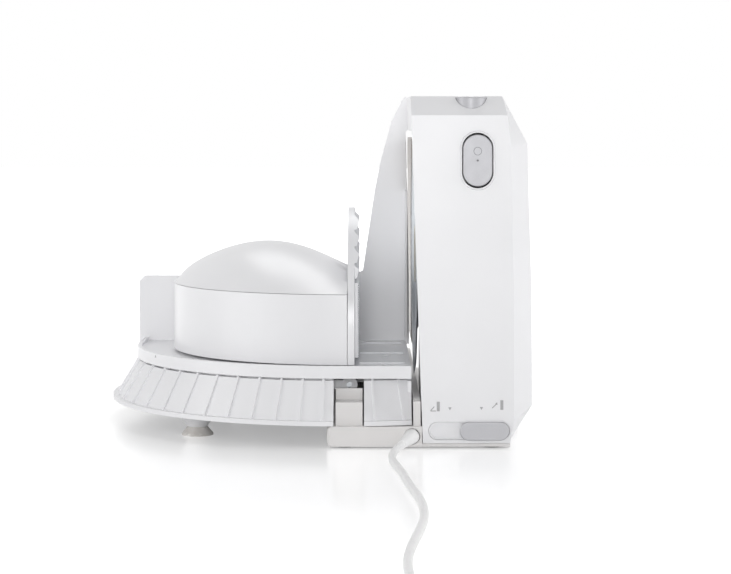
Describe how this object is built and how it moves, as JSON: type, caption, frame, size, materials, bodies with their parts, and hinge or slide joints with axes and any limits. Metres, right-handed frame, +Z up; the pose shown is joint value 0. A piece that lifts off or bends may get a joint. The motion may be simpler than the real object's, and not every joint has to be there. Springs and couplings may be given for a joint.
{
  "type": "folding electric food slicer",
  "caption": "Slicer with a flat motor tower, upright blade, half-round folding table, sliding carriage, remnant holder, thickness plate and cord.",
  "frame": {"origin": "on the worktop below the middle of the slicer, measured without its cord", "axes": "+Z up, +Y from the switch face towards the back along the carriage's travel, +X from the folding table across the blade to the motor tower"},
  "size_m": [0.299, 0.8886, 0.2369],
  "materials": {
    "white_gloss": "gloss white moulding",
    "grey_plastic": "matt grey moulding",
    "silver_paint": "satin silver paint",
    "dark_plastic": "matt dark moulding",
    "blade_steel": "ground stainless steel",
    "steel": "bright steel",
    "gear_plastic": "natural gear plastic",
    "motor_iron": "laminated iron",
    "brass": "plain brass",
    "copper_wire": "lacquered copper wire",
    "clear_rubber": "translucent soft rubber",
    "black_rubber": "matt black rubber",
    "white_cord": "white cord sheath"
  },
  "bodies": {
    "base": {"base_plate": "white_gloss", "base_feet": "black_rubber", "base_screws": "steel", "fixed_table_segment": "white_gloss", "hinge_pin": "steel", "motor_housing": "white_gloss", "housing_cover": "white_gloss", "housing_screws": "steel", "gearbox_plate": "steel", "blade_spindle": "steel", "idler_shaft": "steel", "motor_stator": "motor_iron", "field_coils": "copper_wire", "motor_bracket": "steel", "motor_bearings": "brass", "brush_holders": "grey_plastic", "carbon_brushes": "motor_iron", "switch_module": "dark_plastic", "switch_bezel": "dark_plastic", "button_guide": "grey_plastic", "button_spring": "steel", "slider_bezel": "white_gloss", "stop_plate_frame": "white_gloss", "blade_guard_arc": "white_gloss", "strain_relief": "white_cord", "cord_tube": "white_cord", "cord_coil": "white_cord", "cord_tail": "white_cord", "plug_body": "white_cord", "plug_pins": "steel"},
    "blade_assembly": {"blade": "blade_steel", "blade_gear": "gear_plastic", "blade_lock": "gear_plastic"},
    "idler": {"idler_gear": "gear_plastic"},
    "armature": {"armature_shaft": "steel", "armature_core": "motor_iron", "commutator": "brass", "cooling_fan": "gear_plastic", "motor_pinion": "brass"},
    "table": {"folding_table": "white_gloss", "foot_stems": "grey_plastic", "suction_feet": "clear_rubber"},
    "shoe": {"carriage_shoe": "white_gloss"},
    "carriage": {"food_carriage": "white_gloss"},
    "holder": {"pusher_body": "white_gloss", "pusher_cap": "white_gloss", "pusher_plate": "white_gloss", "pusher_screws": "steel"},
    "thickness_plate": {"stop_plate": "blade_steel", "stop_plate_carrier": "white_gloss", "guide_rods": "steel"},
    "thickness_dial": {"thickness_knob": "grey_plastic", "thickness_screw": "steel"},
    "latch": {"latch_slider": "silver_paint", "latch_bolt": "dark_plastic"},
    "switch": {"switch_rocker": "silver_paint"},
    "button": {"lock_button": "silver_paint"}
  },
  "joints": [
    {"name": "blade_spin", "type": "hinge", "parent": "base", "child": "blade_assembly", "pos_m": [0.0735, -0.063, 0.123], "axis": [1, 0, 0], "continuous": true},
    {"name": "idler_spin", "type": "hinge", "parent": "base", "child": "idler", "pos_m": [0.083, -0.09295, 0.10043], "axis": [1, 0, 0], "continuous": true},
    {"name": "armature_spin", "type": "hinge", "parent": "base", "child": "armature", "pos_m": [0.1, -0.10795, 0.07445], "axis": [1, 0, 0], "continuous": true},
    {"name": "table_fold", "type": "hinge", "parent": "base", "child": "table", "pos_m": [0.0265, 0, 0.038], "axis": [0, 1, 0], "range_deg": [0, 90]},
    {"name": "carriage_travel", "type": "slide", "parent": "base", "child": "shoe", "axis": [0, 1, 0], "range_m": [0, 0.13]},
    {"name": "carriage_lift", "type": "slide", "parent": "shoe", "child": "carriage", "axis": [-0.5, 0, 0.866], "range_m": [0, 0.32]},
    {"name": "holder_slide", "type": "slide", "parent": "carriage", "child": "holder", "axis": [1, 0, 0], "range_m": [-0.02, 0.03]},
    {"name": "thickness_turn", "type": "hinge", "parent": "base", "child": "thickness_dial", "pos_m": [0.1335, 0.097, 0.11], "axis": [1, 0, 0], "range_deg": [0, 302]},
    {"name": "plate_shift", "type": "slide", "parent": "base", "child": "thickness_plate", "axis": [1, 0, 0], "range_m": [0, 0.017]},
    {"name": "latch_slide", "type": "slide", "parent": "base", "child": "latch", "axis": [-1, 0, 0], "range_m": [0, 0.021]},
    {"name": "switch_rock", "type": "hinge", "parent": "base", "child": "switch", "pos_m": [0.1123, -0.162, 0.192], "axis": [1, 0, 0], "range_deg": [-6, 6]},
    {"name": "lock_press", "type": "slide", "parent": "base", "child": "button", "axis": [0, 0, -1], "range_m": [0, 0.003], "stiffness_N_per_m": 300, "springref_m": -0.0005, "deforming": ["button_spring"]}
  ],
  "couplings": [
    {"joint": "idler_spin", "follows": "blade_spin", "ratio": -4},
    {"joint": "armature_spin", "follows": "blade_spin", "ratio": 12},
    {"joint": "carriage_lift", "follows": "table_fold", "m_per_rad": 0.2},
    {"joint": "thickness_turn", "follows": "plate_shift", "rad_per_m": 307.99}
  ]
}
